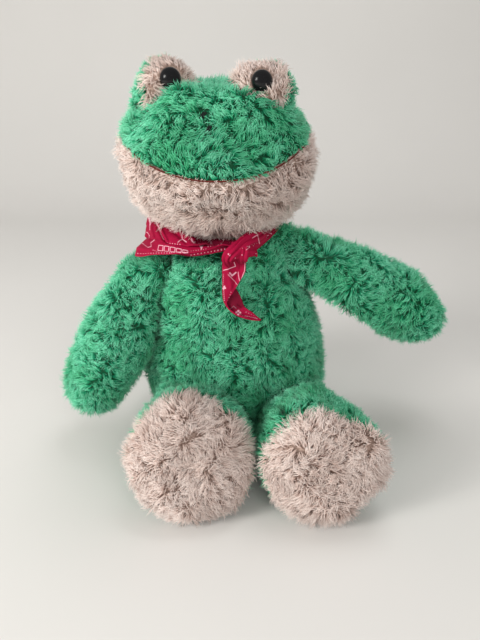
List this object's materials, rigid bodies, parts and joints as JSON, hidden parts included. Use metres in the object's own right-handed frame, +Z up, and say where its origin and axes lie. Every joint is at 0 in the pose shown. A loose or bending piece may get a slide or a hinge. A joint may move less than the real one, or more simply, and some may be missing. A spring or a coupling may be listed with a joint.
{
  "type": "plush frog",
  "caption": "Seated plush frog with raised eye mounds, cream jaw and soles and a knotted printed bandana; the head turns and the limbs swing.",
  "frame": {"origin": "middle of the flat seat under the torso, on the floor", "axes": "-Y is the way the frog faces, +X is the viewer's right, +Z is up from the seat to the eyes"},
  "size_m": [0.438, 0.256, 0.408],
  "materials": {
    "plush_green": "long curly pile",
    "plush_cream": "long curly pile",
    "filling": "loose polyester fibre",
    "printed_cotton": "printed plain weave",
    "black_plastic": "polished",
    "washer_plastic": "moulded",
    "mouth_cord": "covered cord",
    "dark_thread": "stitched"
  },
  "bodies": {
    "torso": {"torso_plush": "plush_green", "torso_stuffing": "filling", "bandana": "printed_cotton"},
    "head": {"head_crown": "plush_green", "head_jaw": "plush_cream", "head_stuffing": "filling", "mouth_cord": "mouth_cord", "eye_patch_left": "plush_cream", "eye_mound_left": "plush_green", "eye_left": "black_plastic", "eye_washer_left": "washer_plastic", "eye_patch_right": "plush_cream", "eye_mound_right": "plush_green", "eye_right": "black_plastic", "eye_washer_right": "washer_plastic", "nostril_left": "dark_thread", "nostril_right": "dark_thread"},
    "arm_left": {"arm_left": "plush_green", "arm_stuffing_left": "filling"},
    "arm_right": {"arm_right": "plush_green", "arm_stuffing_right": "filling"},
    "leg_left": {"leg_left": "plush_green", "sole_left": "plush_cream", "leg_stuffing_left": "filling"},
    "leg_right": {"leg_right": "plush_green", "sole_right": "plush_cream", "leg_stuffing_right": "filling"},
    "bandana_tail": {"bandana_tail": "printed_cotton"}
  },
  "joints": [
    {"name": "head_turn", "type": "hinge", "parent": "torso", "child": "head", "pos_m": [-0.01762, -0.006, 0.24], "axis": [0, 0, 1], "range_deg": [-45, 45]},
    {"name": "arm_left_swing", "type": "hinge", "parent": "torso", "child": "arm_left", "pos_m": [-0.09113, -0.004, 0.206], "axis": [0, 1, 0], "range_deg": [-6, 65]},
    {"name": "arm_right_swing", "type": "hinge", "parent": "torso", "child": "arm_right", "pos_m": [0.06087, -0.004, 0.206], "axis": [0, -1, 0], "range_deg": [-36, 34]},
    {"name": "leg_left_swing", "type": "hinge", "parent": "torso", "child": "leg_left", "pos_m": [-0.05, -0.028, 0.0455], "axis": [-1, 0, 0], "range_deg": [-25, 22]},
    {"name": "leg_right_swing", "type": "hinge", "parent": "torso", "child": "leg_right", "pos_m": [0.05, -0.028, 0.0455], "axis": [-1, 0, 0], "range_deg": [-25, 22]},
    {"name": "tail_swing", "type": "hinge", "parent": "torso", "child": "bandana_tail", "pos_m": [0.00438, -0.068, 0.234], "axis": [-1, 0, 0], "range_deg": [0, 35]}
  ]
}
